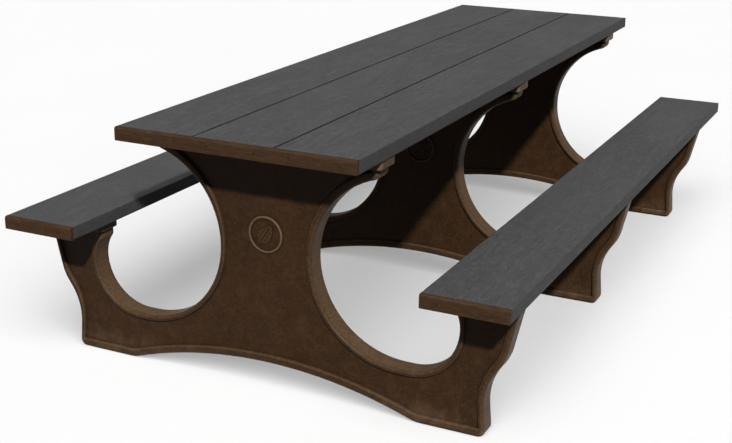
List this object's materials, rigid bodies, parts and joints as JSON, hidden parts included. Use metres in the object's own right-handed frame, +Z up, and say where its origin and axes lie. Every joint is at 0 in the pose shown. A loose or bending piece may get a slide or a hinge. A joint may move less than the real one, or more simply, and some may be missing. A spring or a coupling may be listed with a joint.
{
  "type": "picnic table",
  "caption": "Park picnic table with attached bench seats: recycled-plastic planks screwed to moulded frames with round leg openings.",
  "frame": {"origin": "on the ground under the middle of the table top", "axes": "+Z up, +Y along the planks from the near end to the far end, +X across the table from the left seat to the right seat"},
  "size_m": [1.513, 2.438, 0.745],
  "materials": {
    "black_lumber": "charcoal-black recycled-plastic lumber, matte, fine lengthwise streaks",
    "brown_lumber": "dark brown recycled-plastic lumber, matte",
    "brown_moulding": "brown moulded recycled plastic, finely textured, satin on the rims",
    "stainless_steel": "dull stainless steel",
    "brown_screw": "brown coating matched to the end boards"
  },
  "bodies": {
    "root": {"frame_near": "brown_moulding", "frame_middle": "brown_moulding", "frame_far": "brown_moulding", "table_plank_left": "black_lumber", "table_plank_centre": "black_lumber", "table_plank_right": "black_lumber", "seat_plank_left": "black_lumber", "seat_plank_right": "black_lumber", "table_end_board_near": "brown_lumber", "table_end_board_far": "brown_lumber", "seat_end_board_left_near": "brown_lumber", "seat_end_board_left_far": "brown_lumber", "seat_end_board_right_near": "brown_lumber", "seat_end_board_right_far": "brown_lumber", "table_lag_screws_near": "stainless_steel", "seat_lag_screws_near": "stainless_steel", "table_washers_near": "stainless_steel", "seat_washers_near": "stainless_steel", "table_lag_screws_middle": "stainless_steel", "seat_lag_screws_middle": "stainless_steel", "table_washers_middle": "stainless_steel", "seat_washers_middle": "stainless_steel", "table_lag_screws_far": "stainless_steel", "seat_lag_screws_far": "stainless_steel", "table_washers_far": "stainless_steel", "seat_washers_far": "stainless_steel", "table_end_screws_near": "brown_screw", "table_end_screws_far": "brown_screw", "seat_end_screws_left_near": "brown_screw", "seat_end_screws_left_far": "brown_screw", "seat_end_screws_right_near": "brown_screw", "seat_end_screws_right_far": "brown_screw"}
  },
  "joints": []
}
